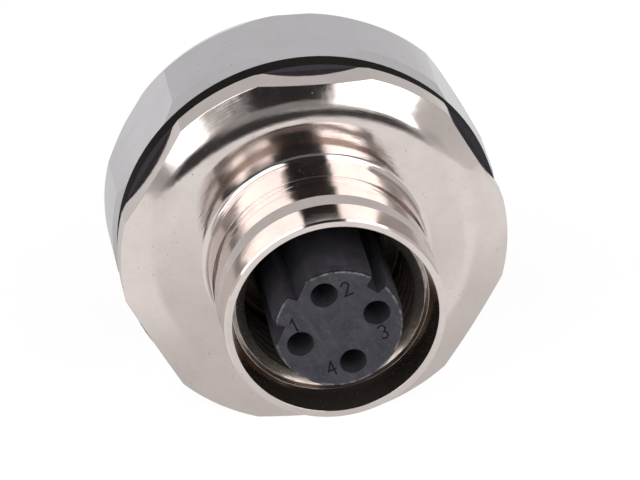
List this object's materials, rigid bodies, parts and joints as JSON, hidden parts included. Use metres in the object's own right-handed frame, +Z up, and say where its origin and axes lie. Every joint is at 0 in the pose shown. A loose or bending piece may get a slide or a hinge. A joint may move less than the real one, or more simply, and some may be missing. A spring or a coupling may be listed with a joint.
{
  "type": "m12 connector",
  "caption": "Female panel-mount circular connector: keyed contact carrier in a threaded sleeve, hexagonal flange, gasket and lock nut on a threaded shank.",
  "frame": {"origin": "on the connector's axis, in the plane where the gasket meets the panel", "axes": "-Y along the axis out of the mating face, +Z up as the part lies on its flats, +X to the right seen from the mating side"},
  "size_m": [0.0251, 0.0246, 0.0244],
  "materials": {
    "nickel_plate": "bright nickel plating",
    "carrier_plastic": "satin",
    "black_rubber": "matte",
    "contact_gold": "gold flash",
    "spring_steel": "phosphated"
  },
  "bodies": {
    "connector": {"housing": "nickel_plate", "contact_carrier": "carrier_plastic", "carrier_seal": "black_rubber", "contact_retainer": "carrier_plastic", "snap_ring": "spring_steel", "contact_1": "contact_gold", "contact_2": "contact_gold", "contact_3": "contact_gold", "contact_4": "contact_gold", "panel_gasket": "black_rubber"},
    "lock_nut": {"lock_nut": "nickel_plate"}
  },
  "joints": [
    {"name": "lock_nut_unscrew", "type": "slide", "parent": "connector", "child": "lock_nut", "axis": [0, 1, 0], "range_m": [0, 0.012]}
  ]
}
